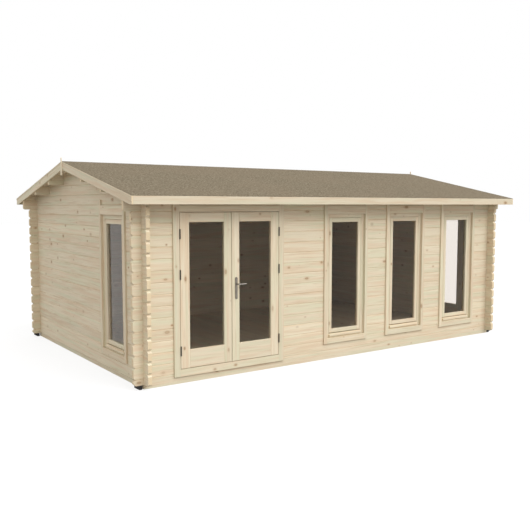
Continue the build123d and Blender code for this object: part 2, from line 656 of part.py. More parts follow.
def turned_to_side(solid, side):
    """Carry a front-wall window, centred on X = 0, to the left (-1) or right (1) wall."""
    at_origin = Pos(0, -FRONT, 0) * solid
    turned = Rot(0, 0, -90 if side < 0 else 90) * at_origin
    return Pos(side * -LEFT, SIDE_WINDOW, 0) * turned


def windows():
    frames, sashes, panes = [], [], []
    for centre in FRONT_WINDOWS:
        frame, sash, pane = window(centre)
        frames.append(frame)
        sashes.append(sash)
        panes.append(pane)
    for side in (-1, 1):
        frame, sash, pane = window(0.0)
        frames.append(turned_to_side(frame, side))
        sashes.append(turned_to_side(sash, side))
        panes.append(turned_to_side(pane, side))
    write("window_frames", Compound(frames))
    write("window_sashes", Compound(sashes))
    write("window_glass", Compound(panes))


def main():
    os.makedirs("parts", exist_ok=True)
    base()
    front_wall()
    eaves_logs("front_eaves_log", LONG_FACES[0])
    eaves_logs("back_eaves_log", LONG_FACES[1])
    back_wall()
    side_wall("left", SIDE_FACES[0])
    side_wall("right", SIDE_FACES[1])
    roof()
    door_frame()
    doors()
    handle()
    windows()


main()
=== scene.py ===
import math

import bmesh
import bpy
from mathutils import Matrix, Vector


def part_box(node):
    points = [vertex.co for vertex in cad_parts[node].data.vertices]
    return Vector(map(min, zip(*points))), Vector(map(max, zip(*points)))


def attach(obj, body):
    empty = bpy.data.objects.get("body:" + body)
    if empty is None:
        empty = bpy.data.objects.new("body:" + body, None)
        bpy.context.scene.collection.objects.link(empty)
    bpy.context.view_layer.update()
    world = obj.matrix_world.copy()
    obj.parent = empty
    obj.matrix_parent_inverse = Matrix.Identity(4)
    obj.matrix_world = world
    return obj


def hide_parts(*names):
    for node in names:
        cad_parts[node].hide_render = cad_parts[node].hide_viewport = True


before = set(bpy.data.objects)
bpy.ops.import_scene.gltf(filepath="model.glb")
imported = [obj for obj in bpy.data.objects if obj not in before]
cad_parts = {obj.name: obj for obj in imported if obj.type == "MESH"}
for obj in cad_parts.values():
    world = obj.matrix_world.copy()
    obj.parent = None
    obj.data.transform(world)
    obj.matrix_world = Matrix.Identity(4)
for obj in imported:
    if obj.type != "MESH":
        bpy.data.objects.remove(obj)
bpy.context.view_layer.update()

# Shared measurements, in metres, in the cabin's frame: X along the front, Y to the back, Z up
PITCH = 0.128               # height of one log
LONG_JOINT = 0.112          # first joint of the front and back logs
SIDE_JOINT = 0.048          # first joint of the side logs
SLOPE = math.radians(12.0)
WALL_X = 2.885              # outer face of the gable walls
WALL_Y = 1.850              # outer face of the front and back walls
LOG_THICKNESS = 0.045
EDGE = 0.0015               # bevel on the boards' edges
FACE_EDGE = 0.0025          # bevel on doors and sashes
DECK_EDGE = 0.003           # bevel on the roof deck's boards
BOARD_PITCH = 0.112         # deck and floor boards
ROOF_X = 3.100              # over the barge boards
ROOF_Y = 2.100              # over the eaves boards
BOARD = 0.018               # thickness of the roof boards and the trim
EAVES_TOP = 2.064
EAVES_BOTTOM = 1.976
RIDGE_TOP = EAVES_TOP + ROOF_Y * math.tan(SLOPE)
BARGE_HEIGHT = 0.098
STRIP_HEIGHT = 0.014
STRIP_PROUD = 0.005
SQUARE_ON = 0.75            # a normal's share along a direction from which a face counts as facing it


def srgb(red, green, blue):
    """Linear colour of an 8-bit display colour."""
    def linear(value):
        value /= 255.0
        return value / 12.92 if value <= 0.04045 else ((value + 0.055) / 1.055) ** 2.4
    return (linear(red), linear(green), linear(blue), 1.0)


class Graph:
    """Short calls that add shader nodes to a tree; each one returns its output socket."""

    def __init__(self, tree):
        self.tree = tree

    def node(self, kind, **settings):
        made = self.tree.nodes.new(kind)
        for name, value in settings.items():
            setattr(made, name, value)
        return made

    def feed(self, socket, value):
        if isinstance(value, bpy.types.NodeSocket):
            self.tree.links.new(value, socket)
        elif value is not None:
            socket.default_value = value

    def math(self, operation, a, b=None, c=None):
        made = self.node("ShaderNodeMath", operation=operation)
        for socket, value in zip(made.inputs, (a, b, c)):
            self.feed(socket, value)
        return made.outputs[0]

    def combine(self, x, y, z):
        made = self.node("ShaderNodeCombineXYZ")
        for socket, value in zip(made.inputs, (x, y, z)):
            self.feed(socket, value)
        return made.outputs[0]

    def separate(self, vector):
        made = self.node("ShaderNodeSeparateXYZ")
        self.feed(made.inputs[0], vector)
        return made.outputs

    def noise(self, vector, scale=1.0, detail=2.0, roughness=0.5):
        made = self.node("ShaderNodeTexNoise")
        self.feed(made.inputs["Vector"], vector)
        made.inputs["Scale"].default_value = scale
        made.inputs["Detail"].default_value = detail
        made.inputs["Roughness"].default_value = roughness
        return made.outputs[0]

    def random(self, vector):
        made = self.node("ShaderNodeTexWhiteNoise")
        self.feed(made.inputs["Vector"], vector)
        return made.outputs["Color"]

    def steps(self, value, low, high, out_low=0.0, out_high=1.0, smooth=True):
        kind = "SMOOTHSTEP" if smooth else "LINEAR"
        made = self.node("ShaderNodeMapRange", interpolation_type=kind)
        for socket, item in zip(made.inputs, (value, low, high, out_low, out_high)):
            self.feed(socket, item)
        return made.outputs[0]

    def mix(self, factor, a, b, blend="MIX"):
        made = self.node("ShaderNodeMix", data_type="RGBA", blend_type=blend)
        self.feed(made.inputs["Factor"], factor)
        self.feed(made.inputs[6], a)
        self.feed(made.inputs[7], b)
        return made.outputs[2]

    def attribute(self, name):
        made = self.node("ShaderNodeAttribute", attribute_name=name)
        return made.outputs["Vector"]

    def stretched(self, along, across, salt, along_scale, across_scale, detail=2.0):
        """Noise drawn out along the grain."""
        place = self.combine(self.math("MULTIPLY", along, along_scale),
                             self.math("MULTIPLY", across, across_scale), salt)
        return self.noise(place, 1.0, detail)


# Softwood, with sizes in metres
CREAM = srgb(234, 221, 195)
ROSY = srgb(228, 207, 178)
GREENISH = srgb(222, 218, 189)
SHADED = srgb(206, 182, 150)
LATE_WOOD = srgb(196, 167, 131)
FIBRE = srgb(203, 180, 147)
KNOT_HALO = srgb(194, 164, 128)
KNOT_HEART = srgb(178, 145, 112)
KNOT_RIM = srgb(146, 112, 83)
END_WOOD = srgb(234, 216, 182)
END_RING = srgb(190, 156, 114)
END_FIBRE = srgb(205, 180, 140)
RING_SPACING = 0.0058
FIBRES_PER_METRE = 420.0
NARROW = 0.06               # boards up to this width keep only CLEAR_SHARE of their knots
WIDE = 0.12                 # boards from this width keep all of them
CLEAR_SHARE = 0.18
BIG_KNOTS = {"cell": 0.58, "chance": 0.42, "smallest": 0.007, "largest": 0.015, "salt": 11.0}
SMALL_KNOTS = {"cell": 0.43, "chance": 0.20, "smallest": 0.003, "largest": 0.006, "salt": 23.0}


def knots(g, along, v, width, seed, cell, chance, smallest, largest, salt):
    """Knots in cells along the board, one to a cell at most: distance in radii, distance across, strength."""
    share = g.steps(width, NARROW, WIDE, CLEAR_SHARE, 1.0)
    number = g.math("FLOOR", g.math("DIVIDE", along, cell))
    middle = g.math("MULTIPLY", g.math("ADD", number, 0.5), cell)
    dice = g.separate(g.random(g.combine(number, seed, salt)))
    more = g.separate(g.random(g.combine(number, seed, salt + 5.0)))
    du = g.math("SUBTRACT", g.math("SUBTRACT", along, middle),
                g.math("MULTIPLY", g.math("SUBTRACT", dice[0], 0.5), cell * 0.75))
    centre = g.math("MULTIPLY", g.math("MULTIPLY", g.math("SUBTRACT", dice[1], 0.5), 0.8), width)
    dv = g.math("SUBTRACT", v, centre)
    size = g.math("MULTIPLY_ADD", more[0], largest - smallest, smallest)
    size = g.math("MULTIPLY", size, g.math("LESS_THAN", dice[2], g.math("MULTIPLY", share, chance)))
    size = g.math("MAXIMUM", size, 0.00001)
    stretch = g.math("MULTIPLY_ADD", more[1], 0.35, 0.45)
    far = g.math("SQRT", g.math("ADD", g.math("POWER", g.math("MULTIPLY", du, stretch), 2.0),
                                g.math("POWER", dv, 2.0)))
    return g.math("DIVIDE", far, size), dv, more[2]


def late_wood(g, along, across, v, w, seed, board):
    """The dark part of the growth rings, about a pith that lies somewhere behind the face."""
    pith_v = g.math("MULTIPLY", g.math("SUBTRACT", board[1], 0.5), 0.13)
    pith_w = g.math("MULTIPLY_ADD", board[2], 0.035, 0.030)
    ring_v = g.math("SUBTRACT", across, pith_v)
    ring_w = g.math("ADD", w, pith_w)
    radius = g.math("SQRT", g.math("ADD", g.math("POWER", ring_v, 2.0), g.math("POWER", ring_w, 2.0)))
    drift = g.math("MULTIPLY", g.stretched(along, v, seed, 0.7, 4.0, 1.0), 5.0)
    rings = g.math("FRACT", g.math("ADD", g.math("DIVIDE", radius, RING_SPACING), drift))
    return g.math("MULTIPLY", g.steps(rings, 0.40, 0.88), g.steps(rings, 0.90, 1.0, 1.0, 0.0))


def face_colour(g, along, across, w, seed, late, fibre):
    """Cream boards with long rosy and greenish streaks, each board a little different."""
    tone = g.separate(g.random(g.combine(seed, 8.1, 4.9)))
    deep = g.math("ADD", g.math("MULTIPLY", seed, 9.0), g.math("MULTIPLY", w, 12.0))
    rosy_streak = g.stretched(along, across, deep, 1.5, 26.0, 3.0)
    green_streak = g.stretched(along, across, g.math("ADD", deep, 50.0), 1.1, 17.0, 2.0)
    shade_streak = g.stretched(along, across, g.math("ADD", deep, 90.0), 2.6, 60.0, 3.0)
    rosy = g.math("ADD", rosy_streak, g.math("MULTIPLY", g.math("SUBTRACT", tone[0], 0.5), 0.14))
    green = g.math("ADD", green_streak, g.math("MULTIPLY", g.math("SUBTRACT", tone[1], 0.5), 0.12))
    colour = g.mix(g.steps(rosy, 0.38, 0.68), CREAM, ROSY)
    colour = g.mix(g.steps(green, 0.44, 0.68, 0.0, 0.75), colour, GREENISH)
    colour = g.mix(g.steps(shade_streak, 0.50, 0.78, 0.0, 0.50), colour, SHADED)
    colour = g.mix(g.math("MULTIPLY", late, 0.22), colour, LATE_WOOD)
    colour = g.mix(g.steps(fibre, 0.50, 0.80, 0.0, 0.20), colour, FIBRE)
    level = g.steps(tone[2], 0.0, 1.0, 0.94, 1.03, smooth=False)
    return g.mix(1.0, colour, g.combine(level, level, level), "MULTIPLY")


def end_colour(g, late, fibre):
    """Sawn ends show the rings themselves."""
    colour = g.mix(g.math("MULTIPLY", late, 0.5), END_WOOD, END_RING)
    return g.mix(g.steps(fibre, 0.5, 0.8, 0.0, 0.25), colour, END_FIBRE)


def stain(g, distance, strength, colour):
    """A knot's halo, rim and heart over the grain; some knots are faint."""
    halo = g.math("MULTIPLY", g.steps(distance, 0.9, 2.8, 0.60, 0.0), strength)
    around = g.mix(halo, colour, KNOT_HALO)
    rim = g.math("MULTIPLY", g.steps(distance, 0.62, 0.92), g.steps(distance, 0.98, 1.25, 1.0, 0.0))
    heart = g.mix(rim, KNOT_HEART, KNOT_RIM)
    cover = g.math("MULTIPLY", g.steps(distance, 0.80, 1.30, 0.88, 0.0), strength)
    return g.mix(cover, around, heart)


def wood_group():
    """Softwood from board coordinates in metres: U along the grain, V across the face, W through."""
    group = bpy.data.node_groups.new("softwood", "ShaderNodeTree")
    for name in ("U", "V", "W", "Width", "Seed", "End"):
        group.interface.new_socket(name, in_out="INPUT", socket_type="NodeSocketFloat")
    group.interface.new_socket("Color", in_out="OUTPUT", socket_type="NodeSocketColor")
    group.interface.new_socket("Height", in_out="OUTPUT", socket_type="NodeSocketFloat")
    g = Graph(group)
    given = g.node("NodeGroupInput").outputs
    u, v, w, width, seed, end = (given[i] for i in range(6))

    board = g.separate(g.random(g.combine(seed, 3.7, 1.3)))
    along = g.math("MULTIPLY_ADD", board[0], 40.0, u)
    big, big_dv, big_tone = knots(g, along, v, width, seed, **BIG_KNOTS)
    small, small_dv, small_tone = knots(g, along, v, width, seed, **SMALL_KNOTS)

    # The grain lines wander a little and part around the knots
    wander = g.stretched(along, v, w, 1.1, 6.0, 1.0)
    across = g.math("ADD", g.math("MULTIPLY", g.math("SUBTRACT", wander, 0.5), 0.030), v)
    across = g.math("SUBTRACT", across, g.math("MULTIPLY", big_dv, g.steps(big, 0.6, 4.2, 0.62, 0.0)))
    across = g.math("SUBTRACT", across, g.math("MULTIPLY", small_dv, g.steps(small, 0.6, 3.6, 0.5, 0.0)))

    late = late_wood(g, along, across, v, w, seed, board)
    fibre_place = g.combine(g.math("MULTIPLY", along, 5.0), g.math("MULTIPLY", across, FIBRES_PER_METRE),
                            g.math("MULTIPLY", w, FIBRES_PER_METRE))
    fibre = g.noise(fibre_place, 1.0, 2.0)

    colour = face_colour(g, along, across, w, seed, late, fibre)
    colour = stain(g, big, g.math("MULTIPLY_ADD", big_tone, 0.70, 0.22), colour)
    colour = stain(g, small, g.math("MULTIPLY_ADD", small_tone, 0.60, 0.20), colour)
    colour = g.mix(end, colour, end_colour(g, late, fibre))

    out = g.node("NodeGroupOutput")
    g.feed(out.inputs["Color"], colour)
    height = g.math("ADD", g.math("MULTIPLY", late, 0.5), g.math("MULTIPLY", fibre, 0.6))
    g.feed(out.inputs["Height"], height)
    return group


SOFTWOOD = wood_group()


def material(name):
    made = bpy.data.materials.new(name)
    made.use_nodes = True
    made.node_tree.nodes.clear()
    g = Graph(made.node_tree)
    shader = g.node("ShaderNodeBsdfPrincipled")
    out = g.node("ShaderNodeOutputMaterial")
    g.tree.links.new(shader.outputs[0], out.inputs["Surface"])
    return made, g, shader


def wood(name, place, level=1.0):
    """A wood material; place(g, x, y, z, normal) gives U, V, W, width, seed and end. Level darkens it."""
    made, g, shader = material(name)
    coordinates = g.node("ShaderNodeTexCoord").outputs
    x, y, z = g.separate(coordinates["Object"])[:3]
    normal = g.separate(coordinates["Normal"])
    grain = g.node("ShaderNodeGroup", node_tree=SOFTWOOD)
    for socket, value in zip(grain.inputs, place(g, x, y, z, normal)):
        g.feed(socket, value)
    colour = grain.outputs["Color"]
    if level < 1.0:
        colour = g.mix(1.0, colour, (level, level, level, 1.0), "MULTIPLY")
    g.feed(shader.inputs["Base Color"], colour)
    shader.inputs["Roughness"].default_value = 0.66
    shader.inputs["Specular IOR Level"].default_value = 0.2
    bump = g.node("ShaderNodeBump")
    bump.inputs["Strength"].default_value = 0.35
    bump.inputs["Distance"].default_value = 0.0006
    g.feed(bump.inputs["Height"], grain.outputs["Height"])
    g.feed(shader.inputs["Normal"], bump.outputs[0])
    return made


def facing(g, component):
    """1 where the surface faces along that axis."""
    return g.math("GREATER_THAN", g.math("ABSOLUTE", component), SQUARE_ON)


# Seeds of the logs and beams; a pair is a middle value and what each side of the cabin adds or takes away
LONG_SEED = (50.0, 31.0)
SIDE_SEED = (120.0, 47.0)
SIDE_BEAM_SEED = (720.0, 3.0)
PURLIN_SEED = 640.0
LONG_BEAM_SEED = 700.0

PURLIN_WIDTH = 0.118
PURLIN_MIDDLE = 2.3         # height about which the purlins' grain is laid
BAR_ROWS = 4.0              # bars that lie a quarter of a metre apart or more are told apart


def log_rows(g, z, joint):
    """Height inside the log, from its middle, and the log's number."""
    rows = g.math("DIVIDE", g.math("SUBTRACT", z, joint), PITCH)
    number = g.math("FLOOR", rows)
    inside = g.math("MULTIPLY", g.math("SUBTRACT", g.math("SUBTRACT", rows, number), 0.5), PITCH)
    return inside, number


def long_logs(g, x, y, z, normal):
    inside, number = log_rows(g, z, LONG_JOINT)
    middle, shift = LONG_SEED
    seed = g.math("MULTIPLY_ADD", g.math("SIGN", y), shift, g.math("ADD", number, middle))
    depth = g.math("SUBTRACT", g.math("ABSOLUTE", y), WALL_Y - LOG_THICKNESS / 2)
    return x, inside, depth, PITCH, seed, facing(g, normal[0])


def side_logs(g, x, y, z, normal):
    inside, number = log_rows(g, z, SIDE_JOINT)
    middle, shift = SIDE_SEED
    seed = g.math("MULTIPLY_ADD", g.math("SIGN", x), shift, g.math("ADD", number, middle))
    depth = g.math("SUBTRACT", g.math("ABSOLUTE", x), WALL_X - LOG_THICKNESS / 2)
    return y, inside, depth, PITCH, seed, facing(g, normal[1])


def beams_along_x(width, middle, seed):
    """Single bars along X, told apart by their place across the cabin."""
    def place(g, x, y, z, normal):
        row = g.math("ROUND", g.math("MULTIPLY", y, BAR_ROWS))
        depth = g.math("SUBTRACT", y, g.math("DIVIDE", row, BAR_ROWS))
        return x, g.math("SUBTRACT", z, middle), depth, width, g.math("ADD", row, seed), facing(g, normal[0])
    return place


def beams_along_y(g, x, y, z, normal):
    middle, shift = SIDE_BEAM_SEED
    seed = g.math("MULTIPLY_ADD", g.math("SIGN", x), shift, middle)
    return y, g.math("SUBTRACT", z, SIDE_JOINT / 2), x, SIDE_JOINT, seed, 0.0


def from_attributes(g, x, y, z, normal):
    """Boards built here carry their own coordinates."""
    grain = g.separate(g.attribute("grain"))
    fact = g.separate(g.attribute("board"))
    return grain[0], grain[1], grain[2], fact[0], fact[1], fact[2]


LONG_WALL = wood("logs_along_x", long_logs)
SIDE_WALL = wood("logs_along_y", side_logs)
PURLIN = wood("purlin_wood", beams_along_x(PURLIN_WIDTH, PURLIN_MIDDLE, PURLIN_SEED))
BEAM_X = wood("beam_along_x", beams_along_x(SIDE_JOINT, SIDE_JOINT / 2, LONG_BEAM_SEED))
BEAM_Y = wood("beam_along_y", beams_along_y)
BOARDS = wood("joinery_wood", from_attributes)
EAVES = wood("eaves_wood", from_attributes, level=0.93)

FELT_DARK = srgb(98, 87, 68)
FELT_LIGHT = srgb(145, 134, 112)
FELT_GRIT = srgb(96, 86, 72)
FELT_CLOUD = srgb(129, 114, 94)
GLASS_TINT = srgb(243, 239, 235)
GLASS_IOR = 1.22            # low, for the weak reflection that the photograph shows
RUBBER_DARK = srgb(20, 19, 20)
RUBBER_LIGHT = srgb(38, 36, 36)


def felt_material():
    made, g, shader = material("mineral_felt")
    spot = g.node("ShaderNodeTexCoord").outputs["Object"]
    mottle = g.noise(spot, 52.0, 3.0, 0.6)
    grit = g.noise(spot, 260.0, 2.0, 0.7)
    cloud = g.noise(spot, 1.3, 2.0)
    colour = g.mix(g.steps(mottle, 0.36, 0.64), FELT_DARK, FELT_LIGHT)
    colour = g.mix(g.steps(grit, 0.35, 0.70, 0.0, 0.55), colour, FELT_GRIT)
    colour = g.mix(g.steps(cloud, 0.35, 0.65, 0.0, 0.25), colour, FELT_CLOUD)
    g.feed(shader.inputs["Base Color"], colour)
    shader.inputs["Roughness"].default_value = 0.95
    shader.inputs["Specular IOR Level"].default_value = 0.15
    bump = g.node("ShaderNodeBump")
    bump.inputs["Strength"].default_value = 0.6
    bump.inputs["Distance"].default_value = 0.0012
    g.feed(bump.inputs["Height"], g.math("ADD", grit, g.math("MULTIPLY", mottle, 0.5)))
    g.feed(shader.inputs["Normal"], bump.outputs[0])
    return made


def glass_material():
    """Clear glass with a weak reflection."""
    made, _, shader = material("window_glass")
    shader.inputs["Base Color"].default_value = GLASS_TINT
    shader.inputs["Roughness"].default_value = 0.0
    shader.inputs["IOR"].default_value = GLASS_IOR
    shader.inputs["Transmission Weight"].default_value = 1.0
    return made


def metal_material(name, colour, roughness, metallic, brushed):
    """Worn metal with fine lines; brushed sets how close the lines lie along X."""
    made, g, shader = material(name)
    spot = g.node("ShaderNodeTexCoord").outputs["Object"]
    x, y, z = g.separate(spot)[:3]
    lines = g.noise(g.combine(g.math("MULTIPLY", x, brushed), y, g.math("MULTIPLY", z, 60.0)), 12.0, 2.0)
    blotch = g.noise(spot, 90.0, 2.0)
    dark = tuple(channel * 0.78 for channel in colour[:3]) + (1.0,)
    g.feed(shader.inputs["Base Color"], g.mix(g.steps(blotch, 0.3, 0.7), dark, colour))
    g.feed(shader.inputs["Roughness"], g.steps(lines, 0.3, 0.7, roughness - 0.07, roughness + 0.07))
    shader.inputs["Metallic"].default_value = metallic
    return made


def rubber_material():
    made, g, shader = material("pad_rubber")
    spot = g.node("ShaderNodeTexCoord").outputs["Object"]
    g.feed(shader.inputs["Base Color"], g.mix(g.noise(spot, 120.0, 2.0), RUBBER_DARK, RUBBER_LIGHT))
    shader.inputs["Roughness"].default_value = 0.8
    return made


FELT = felt_material()
GLASS = glass_material()
HINGE = metal_material("hinge_metal", srgb(70, 64, 56), roughness=0.45, metallic=0.6, brushed=20.0)
HANDLE = metal_material("handle_metal", srgb(150, 144, 136), roughness=0.36, metallic=1.0, brushed=300.0)
PLATE = metal_material("plate_metal", srgb(146, 139, 128), roughness=0.46, metallic=0.85, brushed=300.0)
PAD = rubber_material()

NODE_MATERIALS = {
    LONG_WALL: ["front_wall_half_log", "front_wall_left", "front_wall_under_windows", "front_wall_piers",
                "front_wall_right", "front_eaves_log", "back_eaves_log", "back_wall"],
    SIDE_WALL: ["left_wall_base", "left_wall_front", "left_wall_back", "left_gable",
                "right_wall_base", "right_wall_front", "right_wall_back", "right_gable"],
    PURLIN: ["ridge_purlin", "upper_purlins", "lower_purlins"],
    BEAM_X: ["long_beams", "floor_bearers"],
    BEAM_Y: ["side_beams"],
    FELT: ["front_felt", "back_felt"],
    GLASS: ["left_door_glass", "right_door_glass", "window_glass"],
    HINGE: ["frame_hinges", "left_door_hinges", "right_door_hinges"],
    HANDLE: ["door_handle"],
    PLATE: ["handle_plates"],
    PAD: ["corner_pads"],
}
for finish, names in NODE_MATERIALS.items():
    for name in names:
        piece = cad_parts[name]
        for place in piece.material_slots:
            place.material = finish


def new_object(name, mesh):
    made = bpy.data.objects.new(name, mesh)
    bpy.context.scene.collection.objects.link(made)
    return made


class Woodwork:
    """Boards gathered into one mesh, each with bevelled edges, its own grain and its own seed."""
    next_seed = 2000

    def __init__(self, place=Matrix.Identity(4)):
        self.place = place
        self.points = []
        self.faces = []
        self.grain = []
        self.facts = []

    def prism(self, outline, axis, low, high, along, edge=EDGE):
        """A board swept from low to high along one axis; its outline names the other two axes in order."""
        shape = bmesh.new()
        first, second = [i for i in range(3) if i != axis]
        rings = []
        for level in (low, high):
            ring = []
            for a, b in outline:
                spot = [0.0, 0.0, 0.0]
                spot[first] = a
                spot[second] = b
                spot[axis] = level
                ring.append(shape.verts.new(spot))
            rings.append(ring)
        shape.faces.new(rings[0])
        shape.faces.new(rings[1][::-1])
        for i in range(len(outline)):
            j = (i + 1) % len(outline)
            shape.faces.new((rings[0][j], rings[0][i], rings[1][i], rings[1][j]))
        bmesh.ops.recalc_face_normals(shape, faces=shape.faces[:])
        bmesh.ops.bevel(shape, geom=shape.edges[:], offset=edge, segments=1, affect="EDGES",
                        clamp_overlap=True)
        self.keep(shape, Vector(along).normalized())

    def block(self, x0, x1, y0, y1, z0, z1, along, edge=EDGE):
        self.prism([(x0, y0), (x1, y0), (x1, y1), (x0, y1)], 2, z0, z1, along, edge)

    def keep(self, shape, along):
        """Add a finished board, with U along its grain and V across its wider face."""
        one = Vector((1, 0, 0)) if abs(along.x) < 0.5 else Vector((0, 1, 0))
        two = along.cross(one)
        spans = []
        for direction in (one, two):
            reach = [direction.dot(vertex.co) for vertex in shape.verts]
            spans.append((max(reach) - min(reach), (max(reach) + min(reach)) / 2, direction))
        spans.sort(key=lambda span: -span[0])
        width, centre, across = spans[0]
        _, middle, through = spans[1]
        start = len(self.points)
        shape.verts.index_update()
        for vertex in shape.verts:
            self.points.append(self.place @ vertex.co)
            self.grain.append((along.dot(vertex.co), across.dot(vertex.co) - centre,
                               through.dot(vertex.co) - middle))
        for face in shape.faces:
            self.faces.append([start + vertex.index for vertex in face.verts])
            end = 1.0 if abs(face.normal.dot(along)) > SQUARE_ON else 0.0
            self.facts.append((width, Woodwork.next_seed, end))
        Woodwork.next_seed += 1
        shape.free()

    def finish(self, name, body, slot, *nodes, look=BOARDS):
        """Make the object; it rides on a body and stands for the CAD nodes."""
        mesh = bpy.data.meshes.new(name)
        mesh.from_pydata(self.points, [], self.faces)
        for title, kind, values in (("grain", "POINT", self.grain), ("board", "FACE", self.facts)):
            layer = mesh.attributes.new(title, "FLOAT_VECTOR", kind)
            layer.data.foreach_set("vector", [number for value in values for number in value])
        mesh.materials.append(look)
        made = new_object(name, mesh)
        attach(made, body)
        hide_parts(*nodes)


ALONG_X = (1, 0, 0)
ALONG_Y = (0, 1, 0)
ALONG_Z = (0, 0, 1)

# Door, from its centre and the wall's outer face
DOOR_X = -1.780
DOOR_PLACE = Matrix.Translation((DOOR_X, -WALL_Y, 0.0))
CASING_PROUD = 0.020
LINING_BACK = 0.065
CASING_TOP = 2.030
DOOR_HALF = 0.668           # inner faces of the jambs
DOOR_CASING_HALF = 0.743
DOOR_HOLE_HALF = 0.713
DOOR_SILL = (0.078, 0.159)
DOOR_HEAD = (1.895, 1.967)
EAVES_JOINT = 1.904
STOP_HALF = 0.650
STOP_STRIP = 0.018
STOP_FRONT = 0.028
LEAF_BACK = 0.022
LEAF_FREE = 0.003           # half the gap between the leaves
LEAF_BEVEL = 0.003
LEAF_OUTER = 0.663
LEAF_HEIGHTS = (0.165, 0.371, 1.781, 1.889)     # bottom, glass bottom, glass top, top
MEETING_STILE = 0.100
HINGE_STILE = 0.115


def door_frame():
    work = Woodwork(DOOR_PLACE)
    front = -CASING_PROUD
    for side in (-1, 1):
        inner = side * DOOR_HALF
        casing = sorted((inner, side * DOOR_CASING_HALF))
        lining = sorted((inner, side * DOOR_HOLE_HALF))
        stop = sorted((inner, side * STOP_HALF))
        work.block(*casing, front, 0, DOOR_SILL[0], CASING_TOP, ALONG_Z)
        work.block(*lining, 0, LINING_BACK, LONG_JOINT, EAVES_JOINT, ALONG_Z)
        work.block(*stop, STOP_FRONT, LINING_BACK, DOOR_SILL[1], DOOR_HEAD[0], ALONG_Z)
    work.block(-DOOR_HALF, DOOR_HALF, front, 0, *DOOR_HEAD, ALONG_X)
    work.block(-DOOR_HALF, DOOR_HALF, 0, LINING_BACK, DOOR_HEAD[0], EAVES_JOINT, ALONG_X)
    work.block(-DOOR_HALF, DOOR_HALF, front, 0, *DOOR_SILL, ALONG_X)
    work.block(-DOOR_HALF, DOOR_HALF, 0, LINING_BACK, LONG_JOINT, DOOR_SILL[1], ALONG_X)
    for low in (DOOR_SILL[1], DOOR_HEAD[0] - STOP_STRIP):
        work.block(-STOP_HALF, STOP_HALF, STOP_FRONT, LINING_BACK, low, low + STOP_STRIP, ALONG_X)
    work.finish("door_frame_boards", "cabin", "joinery_wood", "door_jambs", "door_head", "door_sill",
                "door_stops")


def door_leaf(name, side):
    work = Woodwork(DOOR_PLACE)
    front = -CASING_PROUD
    bottom, glass_bottom, glass_top, top = LEAF_HEIGHTS
    inner = LEAF_FREE + MEETING_STILE
    outer = LEAF_OUTER - HINGE_STILE
    meeting = [(side * LEAF_FREE, front), (side * inner, front), (side * inner, LEAF_BACK),
               (side * (LEAF_FREE + LEAF_BEVEL), LEAF_BACK)]
    work.prism(meeting, 2, bottom, top, ALONG_Z, FACE_EDGE)
    work.block(*sorted((side * outer, side * LEAF_OUTER)), front, LEAF_BACK, bottom, top, ALONG_Z, FACE_EDGE)
    for low, high in ((bottom, glass_bottom), (glass_top, top)):
        work.block(*sorted((side * inner, side * outer)), front, LEAF_BACK, low, high, ALONG_X, FACE_EDGE)
    work.finish(name + "_leaf_boards", name + "_leaf", "joinery_wood", name + "_door")


# Windows, from their centre and the wall's outer face
WINDOW_SPACING = 1.085
FIRST_WINDOW = -0.030
WINDOW_CENTRES = [FIRST_WINDOW + i * WINDOW_SPACING for i in range(3)]
SIDE_WINDOW = -1.070
WINDOW_CASING_HALF = 0.370
CASING_WIDTH = 0.048
WINDOW_HOLE_HALF = 0.345
WINDOW_HOLE = (0.240, 1.904)
CASING_BOTTOM = 0.200
APRON_TOP = 0.270           # lower casing board, up to a shadow gap under the nosing
HEAD_BOARD = (1.858, 1.967)
JAMB_FACE = 0.013
SASH_BACK = 0.055
SASH_HALF = 0.272
SASH_HEIGHTS = (0.320, 1.808)
SASH_GAP = 0.003
SASH_LIFT = 0.011           # gap under the sash
SASH_STILE = 0.050
SASH_LIP = 0.012
PANE_HEIGHTS = (0.379, 1.752)
NOSING = [(JAMB_FACE, 0.287), (-0.008, 0.287), (-0.008, 0.311), (JAMB_FACE, 0.314)]


def window_places():
    places = [Matrix.Translation((x, -WALL_Y, 0.0)) for x in WINDOW_CENTRES]
    for side in (-1, 1):
        turn = Matrix.Rotation(side * math.pi / 2, 4, "Z")
        places.append(Matrix.Translation((side * WALL_X, SIDE_WINDOW, 0.0)) @ turn)
    return places


def window_frame(work):
    front = -CASING_PROUD
    inner = WINDOW_CASING_HALF - CASING_WIDTH
    lip = SASH_HALF - SASH_LIP
    hole_bottom, hole_top = WINDOW_HOLE
    sash_bottom, sash_top = SASH_HEIGHTS
    rebate = [(WINDOW_HOLE_HALF, 0), (WINDOW_HOLE_HALF, LINING_BACK), (lip, LINING_BACK), (lip, SASH_BACK),
              (SASH_HALF, SASH_BACK), (SASH_HALF, JAMB_FACE), (inner, JAMB_FACE), (inner, 0)]
    for side in (-1, 1):
        casing = sorted((side * inner, side * WINDOW_CASING_HALF))
        work.block(*casing, front, 0, CASING_BOTTOM, CASING_TOP, ALONG_Z)
        work.prism([(side * x, y) for x, y in rebate], 2, hole_bottom, hole_top, ALONG_Z)
    work.block(-inner, inner, front, 0, CASING_BOTTOM, APRON_TOP, ALONG_X)
    work.block(-inner, inner, front, 0, *HEAD_BOARD, ALONG_X)
    for edge, sash, board, stop in (
            (hole_bottom, sash_bottom, APRON_TOP, sash_bottom + SASH_LIP),
            (hole_top, sash_top, HEAD_BOARD[0], sash_top - SASH_LIP)):
        bar = [(0, edge), (LINING_BACK, edge), (LINING_BACK, sash), (JAMB_FACE, sash), (JAMB_FACE, board),
               (0, board)]
        work.prism(bar, 0, -SASH_HALF, SASH_HALF, ALONG_X)
        work.block(-lip, lip, SASH_BACK, LINING_BACK, *sorted((sash, stop)), ALONG_X)
    work.prism(NOSING, 0, -SASH_HALF, SASH_HALF, ALONG_X)


